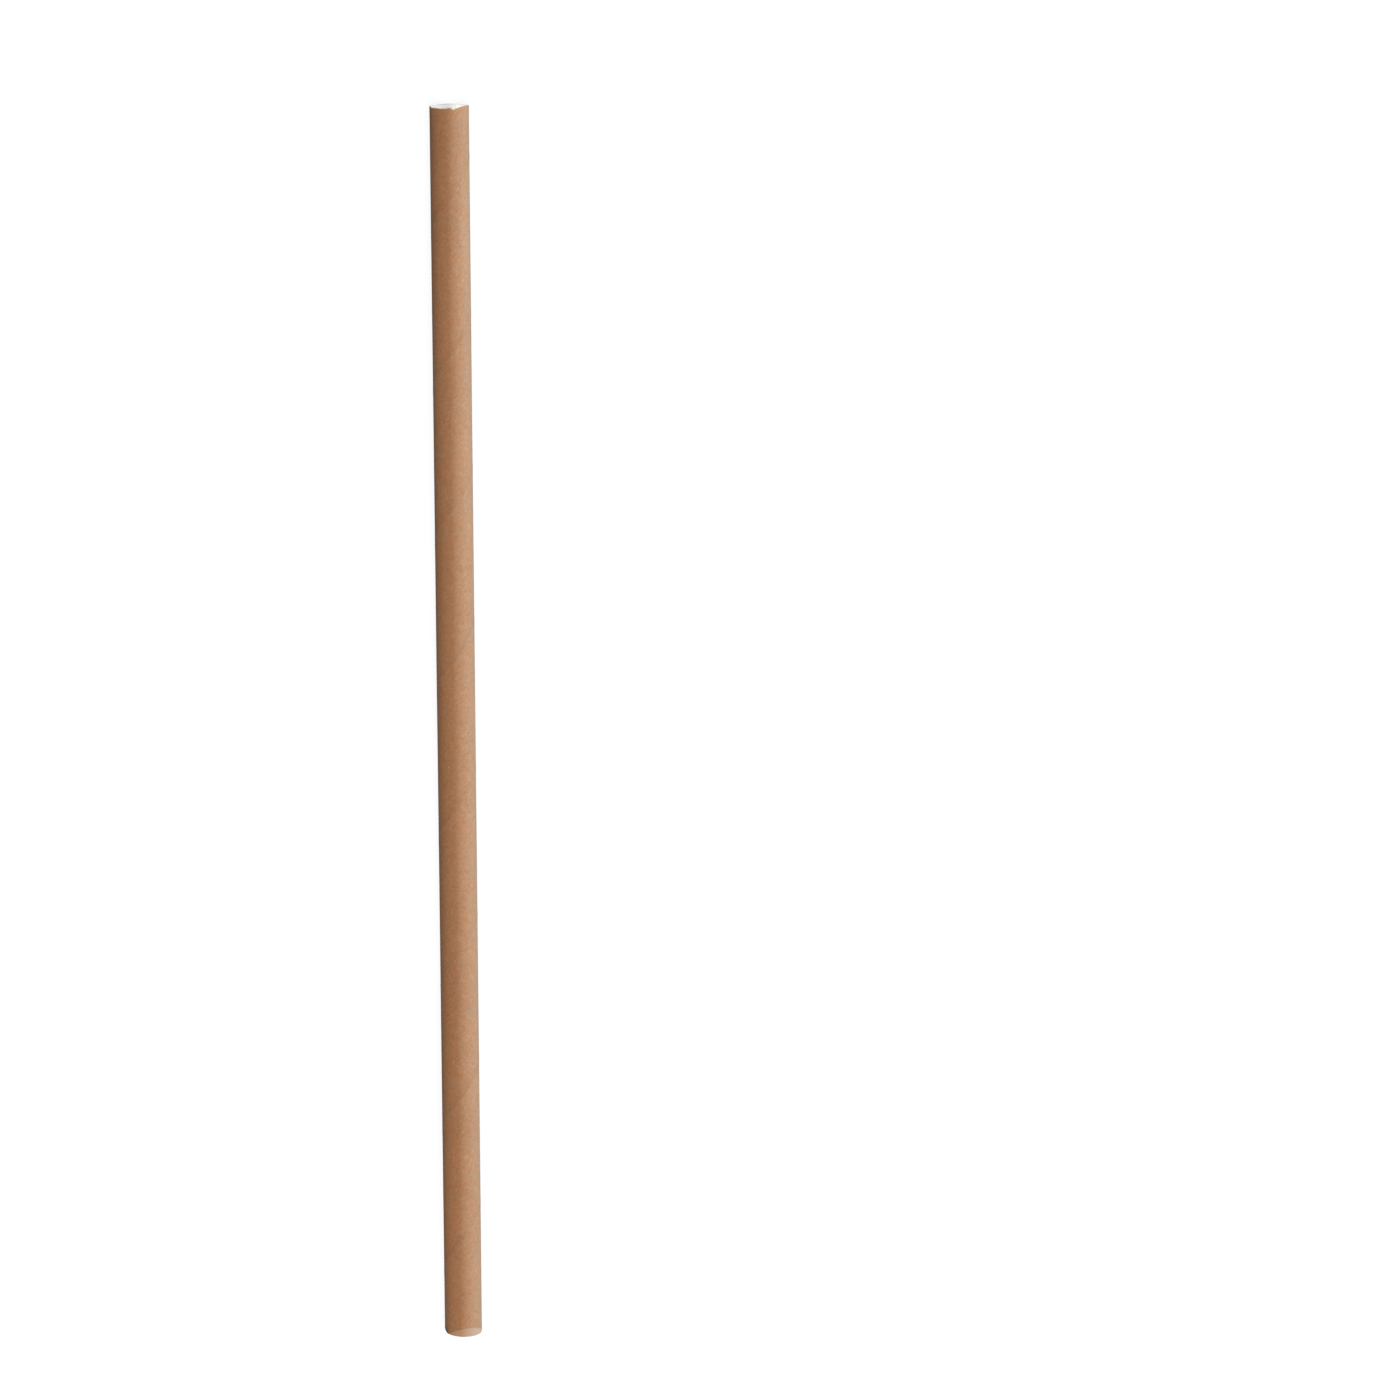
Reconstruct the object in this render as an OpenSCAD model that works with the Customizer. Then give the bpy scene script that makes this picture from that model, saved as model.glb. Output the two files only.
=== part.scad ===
// Spiral-wound paper drinking straw, lying on its side along Y.
// Three paper strips are wound on one another with the same lead. Each strip's edges meet in a narrow
// butt seam, and the three seams are spread round the straw so that none lies over another.

/* [Straw] */

// length from cut end to cut end, at its longest
straw_length = 200; // [140:1:260]

// diameter over the outer strip
outer_d = 6; // [5:0.1:12]

/* [Paper] */

// thickness of the brown outer strip
outer_t = 0.16; // [0.08:0.01:0.20]

// thickness of the white middle strip
middle_t = 0.16; // [0.10:0.01:0.25]

// thickness of the white inner strip, the wall of the bore
inner_t = 0.16; // [0.10:0.01:0.25]

/* [Winding] */

// length of straw covered by one turn of a strip
lead = 24.25; // [18:0.25:36]

// gap left between the two edges of a strip, measured square to the seam
seam_gap = 0.10; // [0.10:0.01:0.40]

// distance from the lower end at which the outer seam first crosses the top side of the straw
outer_seam_at = 16.1; // [0:0.1:24]

// shift of each seam inside from the one over it, as a share of the lead
seam_shift = 0.33; // [0.20:0.01:0.45]

/* [Upper end] */

// angle by which the knife's cut leans from square
cut_lean = 2; // [0:0.5:10]

// direction of the cut's longest side, turned from the top side of the straw towards +X
cut_lean_towards = 25; // [-180:5:180]

// depth of the piece torn out of the brown outer strip at this end
tear_depth = 0.3; // [0.05:0.05:1]

// width of the torn piece, round the straw
tear_width = 0.8; // [0.2:0.05:2]

// direction of the torn piece, turned from the top side of the straw towards +X
tear_towards = 18; // [-180:1:180]

/* [Hidden] */

$fn = 96;
// radii of the faces on which the strips lie on one another
outer_r = outer_d / 2;
middle_r = outer_r - outer_t;
inner_r = middle_r - middle_t;
bore_r = inner_r - inner_t;
// the seam's cutter: steps in one turn, and how far it reaches past the faces and ends of the strip
turn_steps = 24;
reach = 0.3;
over = lead / turn_steps;
cutter_h = straw_length + 2 * over;

// angle at which a strip's edge climbs round the straw, at a given radius
function climb(r) = atan(lead / (2 * PI * r));

// half the angle that the seam's gap takes up in a cross-section
function half_gap(r) = seam_gap / sin(climb(r)) / r * 90 / PI;

// height of the leaning cut at a given radius and direction
function cut_height(r, towards) =
    straw_length - (outer_r - r * cos(towards - cut_lean_towards)) * tan(cut_lean);

// a plain tube from z = 0 to the full length
module tube(r_out, r_in) {
    difference() {
        cylinder(h = straw_length, r = r_out);
        translate([0, 0, -1])
            cylinder(h = straw_length + 2, r = r_in);
    }
}

// the gap between neighbouring turns of one strip: a thin sector that climbs as a right-handed screw
module seam(r_out, r_in, at) {
    far = r_out + reach;
    near = r_in - reach;
    side = half_gap(r_out);
    translate([0, 0, -over])
        rotate([0, 0, -90 - 360 * (at + over) / lead])
            linear_extrude(
                height = cutter_h,
                twist = -360 * cutter_h / lead,
                slices = ceil(cutter_h / over),
                segments = 4
            )
                polygon([
                    [near * cos(side), -near * sin(side)],
                    [far * cos(side), -far * sin(side)],
                    [far * cos(side), far * sin(side)],
                    [near * cos(side), near * sin(side)]
                ]);
}

// what the knife takes off past the leaning cut of the upper end
module offcut() {
    translate([0, 0, cut_height(0, 0)])
        rotate([0, 0, cut_lean_towards - 90])
            rotate([0, -cut_lean, 0])
                translate([-outer_d, -outer_d, 0])
                    cube([2 * outer_d, 2 * outer_d, outer_d]);
}

// the small piece torn out of the outer strip, wider at the cut than at its foot
module tear() {
    foot = cut_height(outer_r, tear_towards) - tear_depth;
    rotate([0, 0, tear_towards - 90])
        translate([middle_r - reach, 0, foot])
            rotate([90, 0, 90])
                linear_extrude(height = outer_t + 2 * reach)
                    polygon([
                        [-0.3 * tear_width, 0],
                        [0.3 * tear_width, 0],
                        [0.5 * tear_width, tear_depth],
                        [0.5 * tear_width, tear_depth + reach],
                        [-0.5 * tear_width, tear_depth + reach],
                        [-0.5 * tear_width, tear_depth]
                    ]);
}

// lays an upright straw along Y on the table
module laid() {
    translate([0, -straw_length / 2, outer_r])
        rotate([-90, 0, 0])
            children();
}

// one strip of paper wound into a tube, with its open butt seam
module ply(r_out, r_in, at) {
    difference() {
        tube(r_out, r_in);
        seam(r_out, r_in, at);
        offcut();
    }
}

module outer_ply() {
    color([0.62, 0.45, 0.31])
        laid()
            difference() {
                ply(outer_r, middle_r, outer_seam_at);
                tear();
            }
}

module middle_ply() {
    color([0.93, 0.91, 0.87])
        laid()
            ply(middle_r, inner_r, outer_seam_at + seam_shift * lead);
}

module inner_ply() {
    color([0.95, 0.94, 0.91])
        laid()
            ply(inner_r, bore_r, outer_seam_at + 2 * seam_shift * lead);
}

outer_ply();
middle_ply();
inner_ply();
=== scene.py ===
# %% [markdown]
# A spiral-wound paper drinking straw
# The real straw is three strips of paper, wound one over another round a steel rod, glued and cut off by a
# knife. The frame brought in here is the CAD model of those three strips. Each is exact but plain, so a
# detailed piece takes its place: the same strip, wound from numpy arrays, with paper's own uneven edges.

# %% The frame that everything is built in
import math

import bpy
import numpy as np
from mathutils import Matrix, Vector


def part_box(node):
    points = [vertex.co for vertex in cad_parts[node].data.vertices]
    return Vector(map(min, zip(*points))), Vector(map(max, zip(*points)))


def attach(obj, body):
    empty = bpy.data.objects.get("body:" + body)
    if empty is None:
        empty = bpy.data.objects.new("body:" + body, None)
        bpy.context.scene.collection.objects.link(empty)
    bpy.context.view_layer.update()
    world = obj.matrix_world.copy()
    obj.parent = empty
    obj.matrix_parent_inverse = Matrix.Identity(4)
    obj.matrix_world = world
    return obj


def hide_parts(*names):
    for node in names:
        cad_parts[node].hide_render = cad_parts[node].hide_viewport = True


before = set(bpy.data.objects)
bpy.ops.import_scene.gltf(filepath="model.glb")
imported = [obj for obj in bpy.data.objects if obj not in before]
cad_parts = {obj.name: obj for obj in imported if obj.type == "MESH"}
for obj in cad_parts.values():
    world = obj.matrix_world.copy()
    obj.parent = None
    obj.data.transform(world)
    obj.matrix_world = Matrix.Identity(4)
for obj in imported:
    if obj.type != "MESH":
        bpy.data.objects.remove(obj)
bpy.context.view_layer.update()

for node in ("outer_ply", "middle_ply", "inner_ply"):
    low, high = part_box(node)
    print(node, "from", [round(x * 1000, 2) for x in low], "to", [round(x * 1000, 2) for x in high], "mm")

# %% [markdown]
# The camera
# The photograph was taken with a long lens from 0.86 m away, over the straw and a little beyond its upper end.
# A camera can be placed by eye, or worked out from straight edges and end ellipses whose true sizes are known.
# The second way was used: it gave the tilt, the place and the lens below.

# %% Camera
CAMERA_PLACE = (0.03812, 0.2482, 0.8304)
CAMERA_TILT, CAMERA_ROLL = math.radians(-16.304), 0.0012
FOCAL_PIXELS, PICTURE_PIXELS, SENSOR_MM = 5516, 1400, 36.0
CLIP_METRES = (0.01, 20)

camera = bpy.data.objects.new("camera", bpy.data.cameras.new("camera"))
bpy.context.scene.collection.objects.link(camera)
bpy.context.scene.camera = camera
camera.location = CAMERA_PLACE
camera.rotation_euler = (Matrix.Rotation(CAMERA_TILT, 3, "X") @ Matrix.Rotation(CAMERA_ROLL, 3, "Z")).to_euler()
camera.data.sensor_width = SENSOR_MM
camera.data.lens = FOCAL_PIXELS * SENSOR_MM / PICTURE_PIXELS
camera.data.clip_start, camera.data.clip_end = CLIP_METRES
bpy.context.scene.view_settings.view_transform = "Standard"
print("lens", round(camera.data.lens, 1), "mm")

# %% [markdown]
# The sizes of the straw
# A point on the straw has three numbers: its distance from the axis, its angle round the axis from the side
# that faces the camera, growing to the picture's right, and its height above the lower end. The seam is a
# right-handed screw line, so its angle grows with the height by one turn in each lead.

# %% Sizes in metres and angles in radians
TURN = 2 * math.pi
MM = 0.001
LENGTH, RADIUS, PLY = 200 * MM, 3 * MM, 0.16 * MM
LEAD, SEAM_AT, SEAM_SHIFT = 24.25 * MM, 16.1 * MM, 0.33 * 24.25 * MM
SEAM_GAP = 0.02 * MM
CUT_LEAN, CUT_TOWARDS = math.radians(2), math.radians(25)
CLIMB = math.atan2(LEAD, TURN * RADIUS)
STRIP_WIDTH = TURN * RADIUS * math.sin(CLIMB)
print("strip", round(STRIP_WIDTH / MM, 2), "mm wide, climbing at", round(math.degrees(CLIMB), 1), "degrees")


def seam_angle(height, seam_at):
    """Angle of a seam at a height: one turn for each lead, and zero at the height seam_at."""
    return TURN * (height - seam_at) / LEAD


def place(radius, angle, height):
    """Point in the frame: x = r sin a, y = height - half the length, z = RADIUS + r cos a."""
    return np.stack([radius * np.sin(angle), height - LENGTH / 2, RADIUS + radius * np.cos(angle)], -1)


def wrapped(angle):
    """The same angle, brought to between minus half a turn and half a turn."""
    return (angle + math.pi) % TURN - math.pi


def smooth(x):
    """Soft step: 0 below 0, 1 above 1, and 3x^2 - 2x^3 between."""
    x = np.clip(x, 0, 1)
    return x * x * (3 - 2 * x)


def ripple(x, waves, seed):
    """Uneven line between about -1 and 1: the sum of sin(w x + p) / k over the waves w, which are numbered
    k = 1, 2 and so on, divided by the sum of 1 / k. The phases p come from a seeded generator."""
    shares = 1 / np.arange(1, len(waves) + 1)
    phases = np.random.default_rng(seed).uniform(0, TURN, len(waves))
    lines = np.sin(np.multiply.outer(waves, x) + phases.reshape(-1, *[1] * np.ndim(x)))
    return np.tensordot(shares, lines, 1) / shares.sum()


# %% [markdown]
# How the paper ends
# The knife leaves its marks. The upper cut leans a little, so one side stands 0.2 mm higher. The brown strip is
# torn there in one short notch, where the white paper shows, and stands up in a flap beside it. At the lower
# end the front of the wall is pressed in over the last millimetre and a half and coloured paler there, and the
# left corner is crushed and coloured darker. Each shape is a height or a depth worked out from the angle alone,
# so the three strips can share them. Painting them on would leave the outline perfectly square, which it isn't.

# %% Cut ends, notch and pressed lip
RAG_WAVES = np.array([5, 9, 14, 22, 31, 43])
NOTCH_AT, NOTCH_HALF, NOTCH_DEPTH = math.radians(19), math.radians(9), 0.15 * MM
FLAP_AT, FLAP_HALF, FLAP_HEIGHT = math.radians(61), math.radians(25), 0.23 * MM
CURL_AT, CURL_HALF, CURL_HEIGHT = math.radians(3), math.radians(7), 0.10 * MM
FRONT_RISE = 0.05 * MM
DENT_AT, DENT_HALF, DENT_HEIGHT = math.radians(-84), math.radians(24), 0.58 * MM
FOOT_LEAN = 0.12 * MM
LIP_AT, LIP_SPREAD, LIP_HEIGHT, LIP_SLOPE = math.radians(18), 1.08, 1.50 * MM, 0.09
# Where the crushed lower-left corner is coloured darker: its angle, half width and height.
DARK_CORNER_AT, DARK_CORNER_HALF, DARK_CORNER_HEIGHT = math.radians(-80), math.radians(27), 0.60 * MM
PALE_AT, PALE_HALF, PALE_HEIGHT = math.radians(56), math.radians(22), 182 * MM


def upper_end(angle, radius, rag, seed):
    """Height of the upper cut: the plane L - R tan(lean) + r tan(lean) cos(angle - towards), and a ripple."""
    lean = math.tan(CUT_LEAN)
    plane = LENGTH - RADIUS * lean + radius * lean * np.cos(angle - CUT_TOWARDS)
    return plane + rag * (ripple(angle, RAG_WAVES, seed) - 0.6)


def lower_end(angle, rag, seed):
    """Height of the lower cut: a ripple, and a slight lean FOOT_LEAN sin(angle) down to the right."""
    return rag * (ripple(angle, RAG_WAVES, seed) + 0.6) - FOOT_LEAN * np.sin(angle)


def bump(angle, at, half):
    """1 in the middle of a stretch of the rim, and 0 outside it: exp(-((angle - at) / half)^4)."""
    return np.exp(-((wrapped(angle - at) / half) ** 4))


def torn_edge(angle):
    """Height added to the brown strip's upper edge: its flap and a small curl, less the notch between them, and
    FRONT_RISE cos(angle)."""
    flap = FLAP_HEIGHT * bump(angle, FLAP_AT, FLAP_HALF)
    curl = CURL_HEIGHT * bump(angle, CURL_AT, CURL_HALF)
    notch = NOTCH_DEPTH * bump(angle, NOTCH_AT, NOTCH_HALF)
    return flap + curl - notch + FRONT_RISE * np.cos(angle)


def lip_height(angle):
    """Height up to which the lower end is pressed: LIP_HEIGHT cos(LIP_SPREAD (angle - LIP_AT))^1.3, or zero."""
    turned = np.clip(LIP_SPREAD * wrapped(angle - LIP_AT), -math.pi / 2, math.pi / 2)
    return LIP_HEIGHT * np.maximum(np.cos(turned), 0) ** 1.3


def pressed_in(angle, height):
    """How far the wall is pressed inwards: LIP_SLOPE times the distance below the lip's upper line, and
    (h - height)^2 / 2h in the crushed corner, where h = DENT_HEIGHT exp(-((angle - DENT_AT) / DENT_HALF)^2)."""
    height = np.maximum(height, 0)
    dent = DENT_HEIGHT * np.exp(-((wrapped(angle - DENT_AT) / DENT_HALF) ** 2)) + 1e-9
    crushed = np.maximum(dent - height, 0) ** 2 / (2 * dent)
    return LIP_SLOPE * np.maximum(lip_height(angle) - height, 0) + crushed


# %% [markdown]
# Winding a strip
# One strip is a closed band. Its cross-section is a loop: across the outer face from one seam edge to the
# other, and back across the inner face. The loop is carried up the straw and turns with the seam as it goes,
# so the butt seam is a real gap with real edges. A tube with a groove painted on would show no paper edge.
# The flat strip's own coordinates are kept as a UV map in millimetres, so that the fibres of the paper follow
# the winding and break at the seam as real ones do.

# %% Grid helpers
SHARP_ANGLE = math.radians(48)


def inside_volume(points, quads):
    """Volume inside closed quads, in cubic metres: the sum of a . (b x c) / 6 over their triangles. It is
    negative where the faces point inwards."""
    a, b, c, d = (points[quads[:, k]] for k in range(4))
    return (np.einsum("ij,ij->i", a, np.cross(b, c)) + np.einsum("ij,ij->i", a, np.cross(c, d))).sum() / 6


def put_mesh(name, points, quads, strip_uv, marks):
    """Make a mesh object from arrays: points (n, 3), quads (m, 4), a UV for each point and named masks. The
    quads are turned over where they face inwards."""
    volume = inside_volume(points, quads)
    if volume < 0:
        quads = quads[:, ::-1]
    mesh = bpy.data.meshes.new(name)
    mesh.vertices.add(len(points))
    mesh.vertices.foreach_set("co", points.astype(np.float32).ravel())
    mesh.loops.add(quads.size)
    mesh.loops.foreach_set("vertex_index", quads.astype(np.int32).ravel())
    mesh.polygons.add(len(quads))
    mesh.polygons.foreach_set("loop_start", np.arange(0, quads.size, 4, dtype=np.int32))
    mesh.update(calc_edges=True)
    corner_uv = strip_uv[quads.ravel()].astype(np.float32)
    mesh.uv_layers.new(name="Strip").uv.foreach_set("vector", corner_uv.ravel())
    for mark, values in marks.items():
        mesh.attributes.new(mark, "FLOAT", "POINT").data.foreach_set("value", values.astype(np.float32).ravel())
    if mesh.validate():
        print(name, "had faults that were mended")
    mesh.shade_smooth()
    mesh.set_sharp_from_angle(angle=SHARP_ANGLE)
    piece = bpy.data.objects.new(name, mesh)
    bpy.context.scene.collection.objects.link(piece)
    paper = round(abs(volume) / MM**3, 2)
    print(name, len(points), "points,", 2 * len(quads), "triangles,", paper, "mm3 of paper")
    return piece


def band_quads(rows, half):
    """Quads of a closed band. Each row is a loop of 2 half points: the outer face and back along the inner
    face. Rows are joined point to point, and the two end rows are closed across the wall."""
    number = np.arange(rows * 2 * half).reshape(rows, 2 * half)
    after = np.roll(number, -1, axis=1)
    sides = np.stack([number[:-1], after[:-1], after[1:], number[1:]], -1).reshape(-1, 4)
    out, back = number[:, :half], number[:, : half - 1 : -1]
    foot, top = (np.stack([out[k, 1:], out[k, :-1], back[k, :-1], back[k, 1:]], -1) for k in (0, -1))
    return np.concatenate([sides, foot, top[:, ::-1]])


# %% One wound strip
RELIEF_WAVES_ROUND, RELIEF_ROUND = np.array([2, 3, 5]), 0.012 * MM
RELIEF_WAVES_ALONG, RELIEF_ALONG = np.array([90, 210, 430, 900, 1700]), 0.008 * MM
EDGE_WAVES, EDGE_SHARE = RELIEF_WAVES_ALONG * 2.2, 0.35
EDGE_LIFT, EDGE_WIDTH = 0.02 * MM, 0.4 * MM
STRIP_INSET = 0.012 * MM
MARK_CUT, MARK_LIP, MARK_DARK_CORNER, MARK_PALE = 0.25 * MM, 0.16 * MM, 0.4 * MM, 8 * MM
HEIGHT_ROUNDS = 8


def wound_strip(name, outer, inner, seam_at, across, along, seed, rag=0.03 * MM, proud=0.0, torn=False):
    """A strip wound into a tube. across runs 0 to 1 from edge to edge and along runs 0 to 1 from the lower to
    the upper cut. A point's angle is the seam's angle at its height, plus half the gap, plus its share of the
    rest of the turn. Its height is the same share of the way between the cuts at that angle. A cut's height
    hangs on the angle and the angle on the height, so the two are worked out in turn until they agree. rag is
    how ragged the cuts are, proud is how far the strip stands past the upper one, and torn adds torn_edge."""
    climb = math.atan2(LEAD, TURN * outer)
    half_gap = SEAM_GAP / 2 / math.sin(climb) / outer

    def angle_at(height):
        first = half_gap * (1 + EDGE_SHARE * ripple(height, EDGE_WAVES, seed + 1))
        last = half_gap * (1 + EDGE_SHARE * ripple(height, EDGE_WAVES, seed + 2))
        return seam_angle(height, seam_at) + first + across * (TURN - first - last)

    low, high = np.zeros_like(across), np.full_like(across, LENGTH)
    for _ in range(HEIGHT_ROUNDS):
        low = lower_end(angle_at(low), rag * 0.3, seed + 3)
        top = angle_at(high)
        high = upper_end(top, outer, rag, seed + 4) + proud + (torn_edge(top) if torn else 0)
    height = low + along[:, None] * (high - low)
    angle = angle_at(height)

    edge = np.minimum(across, 1 - across) * STRIP_WIDTH
    relief = RELIEF_ROUND * ripple(angle, RELIEF_WAVES_ROUND, seed + 5)
    relief = relief + RELIEF_ALONG * ripple(height + 0.3 * LEAD * across, RELIEF_WAVES_ALONG, seed + 6)
    relief = relief + EDGE_LIFT * np.exp(-((edge / EDGE_WIDTH) ** 2))
    relief = np.minimum(relief, EDGE_LIFT) - STRIP_INSET - pressed_in(angle, height)

    outer_face = place(outer + relief, angle, height)
    inner_face = place(inner + relief, angle, height)
    points = np.concatenate([outer_face, inner_face[:, ::-1]], 1).reshape(-1, 3)
    turned = seam_angle(height, seam_at) + across * TURN
    strip_along = (RADIUS * turned * math.cos(CLIMB) + height * math.sin(CLIMB)) / MM
    strip_across = np.broadcast_to(-across * STRIP_WIDTH / MM, height.shape)
    uv = np.stack([strip_along, strip_across], -1)
    uv = np.concatenate([uv, uv[:, ::-1]], 1).reshape(-1, 2)

    marks = {
        "cut_edge": 1 - smooth(np.minimum(height - low, high - height) / MARK_CUT),
        "lip": smooth((lip_height(angle) - height) / MARK_LIP + 0.3),
        "seam_edge": np.broadcast_to(edge / MM, height.shape),
        "dark_corner": bump(angle, DARK_CORNER_AT, DARK_CORNER_HALF) * np.exp(-(((height - DARK_CORNER_HEIGHT) / MARK_DARK_CORNER) ** 2)),
        "pale": bump(angle, PALE_AT, PALE_HALF) * np.exp(-(((height - PALE_HEIGHT) / MARK_PALE) ** 2)),
    }
    marks = {mark: np.concatenate([values, values[:, ::-1]], 1) for mark, values in marks.items()}
    return put_mesh(name, points, band_quads(len(along), len(across)), uv, marks)


def flat_place(angle, height):
    """Where a point of the brown strip lies in its UV map, worked out the same way as in wound_strip."""
    start = seam_angle(height, SEAM_AT)
    across = (angle - start) / TURN % 1
    strip_along = RADIUS * (start + across * TURN) * math.cos(CLIMB) + height * math.sin(CLIMB)
    return strip_along / MM, -across * STRIP_WIDTH / MM, 0


def steps(*runs):
    """Numbers from 0 to 1 made of runs, each (end, count): count even steps up to that end."""
    starts = [0.0, *[end for end, _ in runs]]
    parts = [a + (b - a) * np.arange(1, n + 1) / n for a, (b, n) in zip(starts, runs)]
    return np.concatenate([[0.0], *parts])


# The steps are shorter at the seam's edges, at the cuts and, in the brown strip, where its notch lies.
fine_across = steps((0.006, 5), (0.03, 8), (0.43, 29), (0.53, 24), (0.97, 31), (0.994, 8), (1, 5))
fine_along = steps((0.0075, 18), (0.992, 300), (1, 16))
plain_across = steps((0.006, 3), (0.03, 4), (0.97, 66), (0.994, 4), (1, 3))
plain_along = steps((0.0075, 12), (0.992, 170), (1, 12))
SKIN = 0.005 * MM  # half the room for glue between two strips
outer = wound_strip(
    "kraft_strip", RADIUS, RADIUS - PLY + SKIN, SEAM_AT,
    fine_across, fine_along, seed=10, rag=0.04 * MM, torn=True,
)
middle = wound_strip(
    "white_strip", RADIUS - PLY - SKIN, RADIUS - 2 * PLY + SKIN, SEAM_AT + SEAM_SHIFT,
    plain_across, plain_along, seed=20, proud=0.02 * MM,
)
inner = wound_strip(
    "bore_strip", RADIUS - 2 * PLY - SKIN, RADIUS - 3 * PLY, SEAM_AT + 2 * SEAM_SHIFT,
    plain_across, plain_along, seed=30, proud=0.03 * MM,
)

# %% [markdown]
# Loose fibres
# A knife doesn't leave paper clean: fibres stand out from the cut edges, closest together in the torn notch.
# Hair particles could be used, but the exported model can't carry them. Here each fibre is a thin four-sided
# tube along a bent path, and all of them are worked out together as one array.

# %% Fibres
FIBRE_RADIUS = 0.009 * MM


def fibres(name, roots, ways, lengths, thickness, seed):
    """Closed tubes along p(t) = root + way length t + bend t^2, for t from 0 to 1. The radius is the thickness
    times (1 - 0.85 t^3), so each fibre thins towards its tip."""
    rng = np.random.default_rng(seed)
    count, rings, sides = len(roots), 7, 4
    t = np.linspace(0, 1, rings)[None, :, None]
    bend = rng.normal(0, 0.35, (count, 1, 3)) * lengths[:, None, None]
    path = roots[:, None, :] + ways[:, None, :] * lengths[:, None, None] * t + bend * t * t
    tangent = ways[:, None, :] * lengths[:, None, None] + 2 * bend * t
    tangent /= np.linalg.norm(tangent, axis=-1, keepdims=True)
    side = np.cross(tangent, [0.31, 0.52, 0.79])
    side /= np.linalg.norm(side, axis=-1, keepdims=True)
    other = np.cross(tangent, side)
    radius = thickness * (1 - 0.85 * t**3)
    turn = np.arange(sides) * TURN / sides
    ring = np.cos(turn)[:, None] * side[:, :, None, :] + np.sin(turn)[:, None] * other[:, :, None, :]
    points = path[:, :, None, :] + radius[:, :, None, :] * ring
    number = np.arange(points.size // 3).reshape(count, rings, sides)
    after = np.roll(number, -1, axis=2)
    walls = np.stack([number[:, :-1], after[:, :-1], after[:, 1:], number[:, 1:]], -1).reshape(-1, 4)
    points = points.reshape(-1, 3)
    quads = np.concatenate([walls, number[:, 0, ::-1], number[:, -1]])
    return put_mesh(name, points, quads, points[:, :2] / MM, {})


rng = np.random.default_rng(5)
rim_angle = np.concatenate([rng.uniform(-math.pi, math.pi, 46), NOTCH_AT + rng.normal(0, 0.06, 12)])
rim_radius = RADIUS - PLY * rng.uniform(1.1, 2.8, rim_angle.size)
rim_roots = place(rim_radius, rim_angle, upper_end(rim_angle, rim_radius, 0, 0) - 0.05 * MM)
rim_ways = rng.normal(0, 0.5, (rim_angle.size, 3)) + [0, 0.9, 0.3]
rim_ways /= np.linalg.norm(rim_ways, axis=1, keepdims=True)
rim_lengths = rng.uniform(0.1, 0.3, rim_angle.size) * MM
white_fibres = fibres("rim_fibres", rim_roots, rim_ways, rim_lengths, FIBRE_RADIUS, seed=6)

# %% [markdown]
# Shader maths in Python
# A material is a graph of nodes, and long formulas are hard to read there. This small class wraps one output
# socket, so that an expression such as 1 - mask * 0.2 adds the Math nodes by itself.

# %% A wrapped socket and a material's node tree
class Value:
    """A number on a shader socket. Each operator adds one Math node."""

    def __init__(self, finish, socket):
        self.finish, self.socket = finish, socket

    def maths(self, operation, *others):
        return self.finish.node("Math", {"operation": operation}, *others)

    def __add__(self, other):
        return self.maths("ADD", self, other)

    def __sub__(self, other):
        return self.maths("SUBTRACT", self, other)

    def __rsub__(self, other):
        return self.maths("SUBTRACT", other, self)

    def __mul__(self, other):
        return self.maths("MULTIPLY", self, other)

    __radd__ = __add__

    def soft_step(self, low, high):
        """0 below low and 1 above high, with a smooth rise between. high may be the smaller one."""
        return self.finish.node(
            "MapRange", {"interpolation_type": "SMOOTHSTEP"}, self, **{"From Min": low, "From Max": high}
        )


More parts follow.
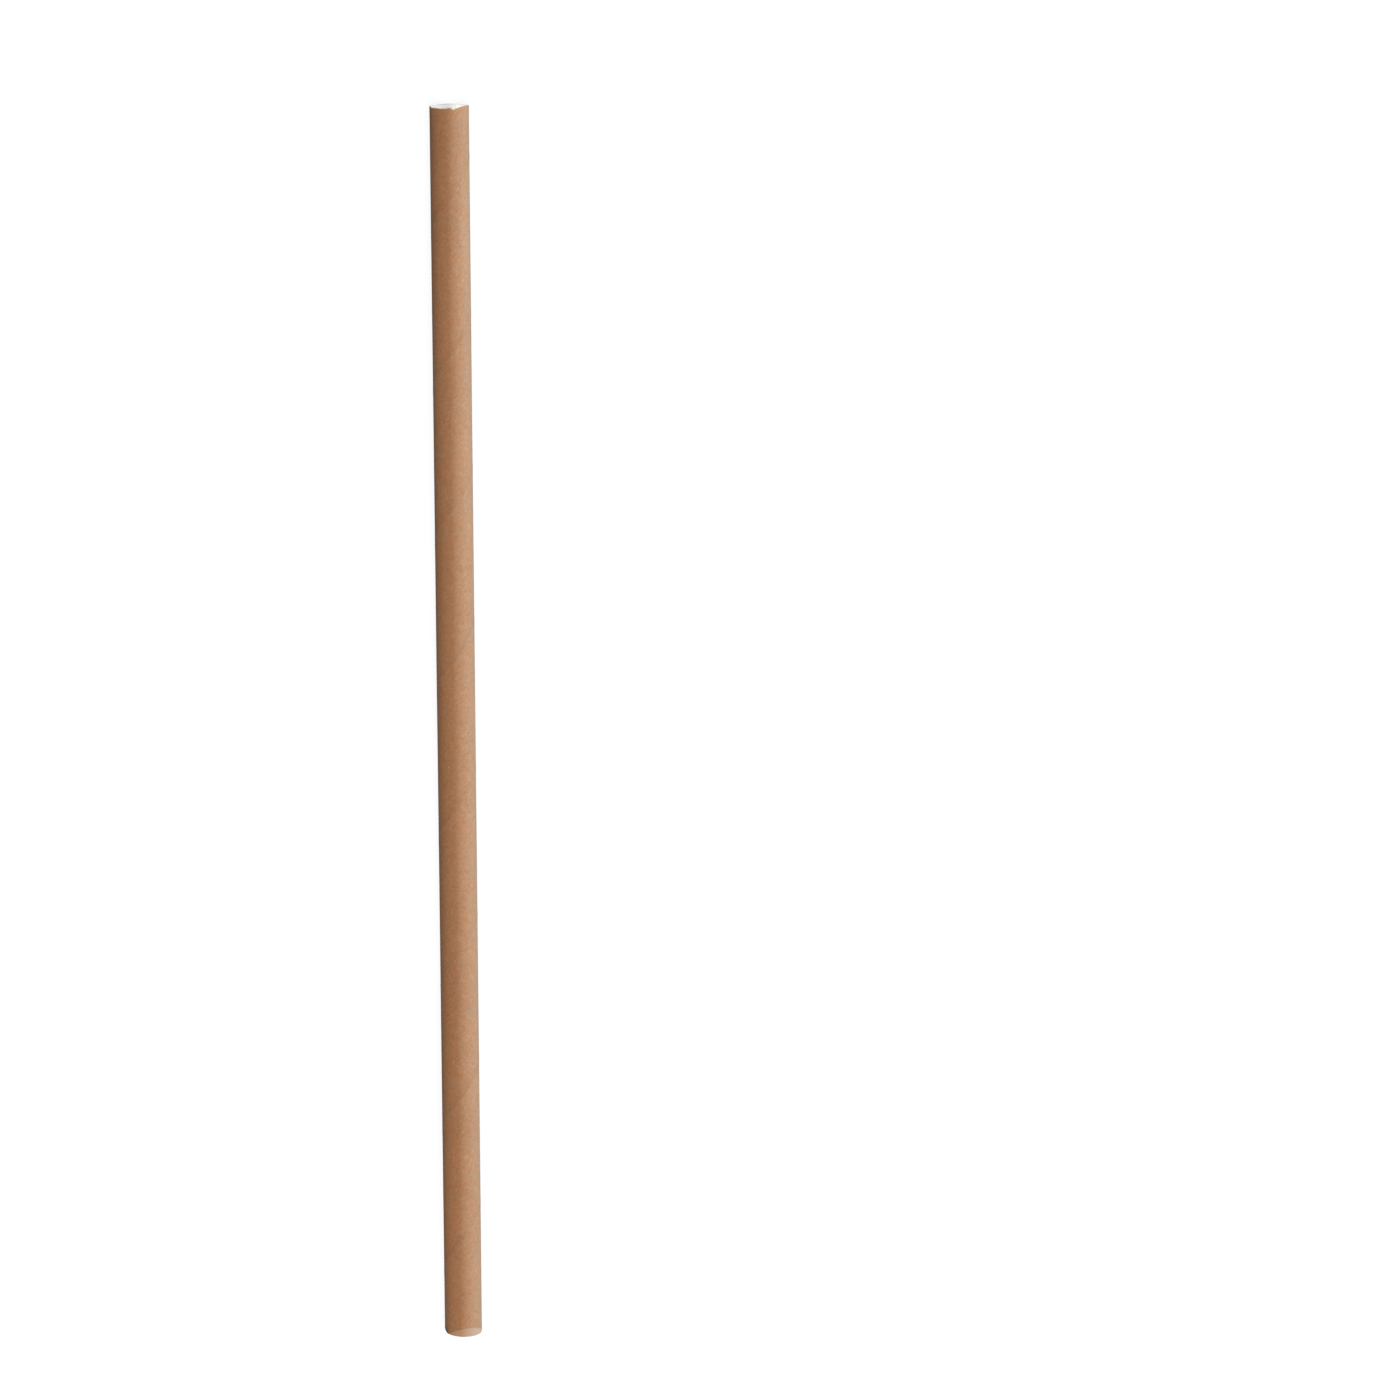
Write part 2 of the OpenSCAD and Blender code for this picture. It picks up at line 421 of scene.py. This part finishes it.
class Finish:
    """A material whose nodes are made by one method."""

    def __init__(self, name):
        self.material = bpy.data.materials.new(name)
        self.material.use_nodes = True
        self.tree = self.material.node_tree
        self.tree.nodes.clear()

    def node(self, kind, settings, *ordered, out=0, **named):
        """Add a node, set its settings, then give its sockets values or links, in order or by name."""
        made = self.tree.nodes.new("ShaderNode" + kind)
        for setting, value in settings.items():
            setattr(made, setting, value)
        given = [(made.inputs[k], v) for k, v in enumerate(ordered)]
        for name, value in named.items():
            socket = next(s for s in made.inputs if name in (s.identifier, s.name) and s.enabled)
            given.append((socket, value))
        for socket, value in given:
            if isinstance(value, Value):
                self.tree.links.new(value.socket, socket)
            else:
                socket.default_value = value
        shown = [s for s in made.outputs if s.enabled]
        if shown:
            return Value(self, made.outputs[out] if isinstance(out, str) else shown[out])

    def mix(self, mask, first, second):
        """A colour between first, where the mask is 0, and second, where it is 1, by a Mix node."""
        return self.node("Mix", {"data_type": "RGBA"}, Factor_Float=mask, A_Color=first, B_Color=second)

    def scaled(self, vector, by):
        """A vector times a plain vector, by a Vector Math node."""
        return self.node("VectorMath", {"operation": "MULTIPLY"}, vector, by)

    def turned(self, vector, angle):
        """A vector turned in its plane, by a Mapping node."""
        return self.node("Mapping", {}, vector, Rotation=(0, 0, angle))

    def cells(self, vector, scale, out):
        """2D Voronoi cells: the distance from a point to its cell's centre, or a colour for each cell."""
        return self.node("TexVoronoi", {"voronoi_dimensions": "2D"}, Vector=vector, Scale=scale, out=out)

    def noise(self, vector, scale, detail=2.0, rough=0.5):
        """2D noise of about 0 to 1, with its mean at 0.5."""
        return self.node(
            "TexNoise", {"noise_dimensions": "2D"}, Vector=vector, Scale=scale, Detail=detail, Roughness=rough
        )

    def mark(self, name):
        """A mask that was kept on the mesh."""
        return self.node("Attribute", {"attribute_name": name}, out="Fac")

    def done(self, colour, roughness, height, distance, **constants):
        """Join everything to a Principled BSDF, whose fixed values are set on its own sockets."""
        bump = self.node("Bump", {}, Strength=1.0, Distance=distance, Height=height)
        shader = self.node(
            "BsdfPrincipled", {}, **{"Base Color": colour, "Roughness": roughness, "Normal": bump}, **constants
        )
        self.node("OutputMaterial", {}, shader)
        print(self.material.name, len(self.tree.nodes), "nodes")
        return self.material


# %% [markdown]
# Brown kraft paper
# Kraft paper is unbleached wood fibre. From close by it is a felt of fine fibres, most of them lying along the
# strip, with clouds where the pulp was thicker, a few dark specks of bark and some pale flecks. An image could
# show that, but noise worked out from the strip's own coordinates never repeats and needs no file. The cut
# edges are paler, because torn fibre is, and a soft band beside the seam is a little darker.

# %% Kraft paper
KRAFT_PALE, KRAFT_DARK = (0.66, 0.51, 0.39, 1), (0.20, 0.10, 0.05, 1)
KRAFT_RED, KRAFT_GREY = (0.453, 0.260, 0.148, 1), (0.437, 0.276, 0.172, 1)
# The next two colours make the pressed lip at the lower end paler and the crushed lower-left corner darker.
KRAFT_LIP_PALE, KRAFT_CORNER_DARK = (0.56, 0.435, 0.35, 1), (0.15, 0.13, 0.13, 1)
SPECK_SCALE = 0.55
SPOTS = ((-22, 96, 0.22), (37, 127, 0.20))  # degrees round the straw, mm above the lower end, radius in mm
BAND_AT, BAND_HALF = 0.6, 0.9  # mm from the seam, half its width
FELT_DEPTH = 0.02 * MM

kraft = Finish("kraft_paper")
flat = kraft.node("UVMap", {"uv_map": "Strip"})
cloud = kraft.noise(flat, 0.12, 2.0) * 0.5 + kraft.noise(flat, 0.8, 3.0) * 0.5
blotch = kraft.noise(kraft.scaled(flat, (1.0, 1.7, 1.0)), 1.6, 1.0)
grain = kraft.noise(kraft.scaled(flat, (0.9, 6.0, 1.0)), 1.0, 3.0, 0.6)
crossed = kraft.noise(kraft.scaled(kraft.turned(flat, 0.6), (1.2, 7.0, 1.0)), 1.0, 2.0, 0.6)
fine = kraft.noise(flat, 11.0, 2.0, 0.7)
tone = 1 + (cloud - 0.5) * 0.26 + (blotch - 0.5) * 0.24 + (grain - 0.5) * 0.32 + (crossed - 0.5) * 0.16
tone = tone + (fine - 0.5) * 0.14

speck_pick = kraft.node("SeparateColor", {}, kraft.cells(flat, SPECK_SCALE, "Color"))
speck = kraft.cells(flat, SPECK_SCALE, "Distance").soft_step(0.085, 0.03) * speck_pick.soft_step(0.45, 0.75)
spots = 0
for angle, height, size in SPOTS:
    centre = flat_place(math.radians(angle), height * MM)
    away = kraft.node("VectorMath", {"operation": "DISTANCE"}, flat, centre, out="Value")
    spots = spots + away.soft_step(size, 0.0)
fleck_place = kraft.scaled(kraft.turned(flat, -0.5), (0.35, 1.2, 1.0))
fleck = kraft.cells(fleck_place, 0.8, "Distance").soft_step(0.10, 0.02)

seam = kraft.mark("seam_edge")
across = kraft.node("SeparateXYZ", {}, flat, out="Y")
# Darker by 5% in a soft band beside the seam.
band_place = across + (STRIP_WIDTH / MM - BAND_AT)
band = band_place.soft_step(BAND_HALF, 0.0) * band_place.soft_step(-BAND_HALF, 0.0)
tone = tone * (1 - band * 0.05)

hue = kraft.noise(flat, 0.45, 3.0, 0.6).soft_step(0.3, 0.7)
colour = kraft.mix(speck * 0.4, kraft.mix(hue, KRAFT_RED, KRAFT_GREY), KRAFT_DARK)
colour = kraft.mix(fleck * 0.30 + spots * 0.7 + kraft.mark("pale") * 0.10, colour, KRAFT_PALE)
colour = kraft.mix(crossed.soft_step(0.45, 0.85) * 0.16, colour, KRAFT_PALE)
colour = kraft.node("VectorMath", {"operation": "SCALE"}, colour, Scale=tone)
worn = kraft.noise(flat, 0.9, 3.0, 0.6).soft_step(0.40, 0.62) * 0.7 + 0.3
torn = kraft.mark("cut_edge") * 0.25 + seam.soft_step(0.12, 0.0) * worn * 0.34
colour = kraft.mix(torn, colour, KRAFT_PALE)
# Paler over the pressed lip at the lower end.
colour = kraft.mix(kraft.mark("lip") * 0.9, colour, KRAFT_LIP_PALE)
# Darker at the crushed lower-left corner.
colour = kraft.mix(kraft.mark("dark_corner"), colour, KRAFT_CORNER_DARK)
felt_height = grain * 0.5 + crossed * 0.3 + fine * 0.35 + cloud * 0.3
kraft_material = kraft.done(
    colour, 0.62 + grain * 0.2, felt_height, FELT_DEPTH,
    IOR=1.45, **{"Sheen Weight": 0.25, "Sheen Roughness": 0.5},
)

# %% [markdown]
# White paper
# The two strips inside are the same bleached paper. Its fibres barely differ in colour, so its look is nearly
# all in the surface: a soft felt, a little warmer in the thin places. Only the cut edges are clearly darker.
# The bore's strip is painted whiter and less warm than the middle one, as painted light inside the bore.

# %% White paper and the wall of the bore
WHITE_FELT_DEPTH = 0.015 * MM
CUT_WHITE = (0.64, 0.61, 0.56, 1)


def white_paper(name, colour, warm):
    """White paper: clouds and fibres mix a warm tint in, and the felt raises the surface by a few microns. The
    cut edge takes a darker tint, because the knife leaves it rough and the glue has soaked into it."""
    sheet = Finish(name)
    spread = sheet.node("UVMap", {"uv_map": "Strip"})
    felt = sheet.noise(sheet.scaled(spread, (1.4, 6.0, 1.0)), 1.0, 3.0, 0.6)
    thick = sheet.noise(spread, 0.7, 2.0)
    tint = (felt * 0.6 + thick * 0.6).soft_step(0.35, 0.85)
    height = felt * 0.7 + sheet.noise(spread, 9.0) * 0.3
    colour = sheet.mix(sheet.mark("cut_edge"), sheet.mix(tint, colour, warm), CUT_WHITE)
    return sheet.done(colour, 0.75 + felt * 0.15, height, WHITE_FELT_DEPTH, IOR=1.5)


white_material = white_paper("white_paper", (0.83, 0.80, 0.76, 1), (0.77, 0.73, 0.66, 1))
# The bore's paper is painted whiter and less warm than the white paper above: painted light inside the bore.
lit_bore_material = white_paper("bore_paper", (0.86, 0.85, 0.83, 1), (0.83, 0.81, 0.78, 1))

outer.data.materials.append(kraft_material)
middle.data.materials.append(white_material)
inner.data.materials.append(lit_bore_material)
white_fibres.data.materials.append(white_material)

# %% [markdown]
# Floor and light
# The straw lies on a plain pale floor. A warm lamp hangs overhead, and a long, slightly cool one stands low on
# the right, so the paper darkens evenly to the left, as in the photograph. A faint warm one lies low beyond the
# lower end. Two more look into the mouth of the bore and shine only on the white pieces, because the bore is
# whiter than the light on the brown paper would leave it. The floor is lifted to white for the camera only. Its
# grey is cool, to balance the warm lamp, and it is darker for the light that it throws back, so that the
# straw's shaded side stays dark.

# %% Floor
FLOOR_HALF, FLOOR_DROP = 1.6, 0.02 * MM
FLOOR_BOUNCE, FLOOR_SEEN, FLOOR_GLOW = (0.05, 0.05, 0.05, 1), (0.20, 0.26, 0.35, 1), 0.87
plane = bpy.data.meshes.new("floor")
corners = [(FLOOR_HALF * x, FLOOR_HALF * y, -FLOOR_DROP) for x, y in ((-1, -1), (1, -1), (1, 1), (-1, 1))]
plane.from_pydata(corners, [], [(0, 1, 2, 3)])
floor = bpy.data.objects.new("floor", plane)
bpy.context.scene.collection.objects.link(floor)

paint = Finish("floor_paint")
seen = paint.node("LightPath", {}, out="Is Camera Ray")
bounce = paint.node("BsdfDiffuse", {}, Color=FLOOR_BOUNCE)
matt = paint.node("BsdfDiffuse", {}, Color=FLOOR_SEEN)
glow = paint.node("Emission", {}, Color=(1, 1, 1, 1), Strength=FLOOR_GLOW)
lit = paint.node("AddShader", {}, matt, glow)
paint.node("OutputMaterial", {}, paint.node("MixShader", {}, seen, bounce, lit))
plane.materials.append(paint.material)

# %% Lamps and surroundings
def lamp(name, angle, forward, distance, size, watts, colour):
    """An area lamp so many degrees round the straw and metres forward along it, facing the straw's middle. Its
    size is its width and its height in metres."""
    angle = math.radians(angle)
    light = bpy.data.lights.new(name, "AREA")
    light.shape, light.size, light.size_y = "RECTANGLE", size[0], size[1]
    light.energy, light.color = watts, colour
    holder = bpy.data.objects.new(name, light)
    bpy.context.scene.collection.objects.link(holder)
    holder.location = (distance * math.sin(angle), forward, RADIUS + distance * math.cos(angle))
    holder.rotation_euler = (-holder.location).to_track_quat("-Z", "Y").to_euler()
    return holder


lamp("key", angle=85, forward=0.7, distance=1.8, size=(1.9, 0.3), watts=41.0, colour=(0.90, 1.0, 1.05))
lamp("fill", angle=4, forward=-0.05, distance=0.8, size=(0.6, 0.6), watts=5.55, colour=(1.0, 0.75, 0.56))
end = lamp("end", angle=-25, forward=1.1, distance=0.5, size=(0.6, 0.6), watts=4.2, colour=(0.80, 0.97, 1.0))
lamp("low", angle=-86, forward=-0.20, distance=0.12, size=(0.08, 0.015), watts=0.02, colour=(1.0, 0.55, 0.25))
mouth = lamp("mouth", angle=-60, forward=0.8, distance=0.6, size=(0.4, 0.4), watts=10.5, colour=(1, 1, 1))
white_pieces = bpy.data.collections.new("white_pieces")
for piece in (middle, inner, white_fibres):
    white_pieces.objects.link(piece)
for light in (end, mouth):
    light.light_linking.receiver_collection = white_pieces

world = bpy.data.worlds.new("surroundings")
bpy.context.scene.world = world
world.use_nodes = True
nodes, links = world.node_tree.nodes, world.node_tree.links
nodes.clear()
WORLD_LIGHT, WORLD_SEEN = 0.02, 1.0
dim, bright = nodes.new("ShaderNodeBackground"), nodes.new("ShaderNodeBackground")
for background, strength in ((dim, WORLD_LIGHT), (bright, WORLD_SEEN)):
    background.inputs["Color"].default_value = (1, 1, 1, 1)
    background.inputs["Strength"].default_value = strength
path, choose = nodes.new("ShaderNodeLightPath"), nodes.new("ShaderNodeMixShader")
out = nodes.new("ShaderNodeOutputWorld")
links.new(path.outputs["Is Camera Ray"], choose.inputs[0])
links.new(dim.outputs[0], choose.inputs[1])
links.new(bright.outputs[0], choose.inputs[2])
links.new(choose.outputs[0], out.inputs["Surface"])

# %% [markdown]
# Fixing the pieces to the frame
# The straw has no joint, so every piece rides on the root. Each strip stands for the CAD strip that it
# replaces, which stays in the physics model.

# %% Pieces and bodies
for piece, node, slot in (
    (outer, "outer_ply", "kraft_paper"),
    (middle, "middle_ply", "white_paper"),
    (inner, "inner_ply", "bore_paper"),
    (white_fibres, None, "white_paper"),
):
    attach(piece, "root")
    if node:
        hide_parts(node)
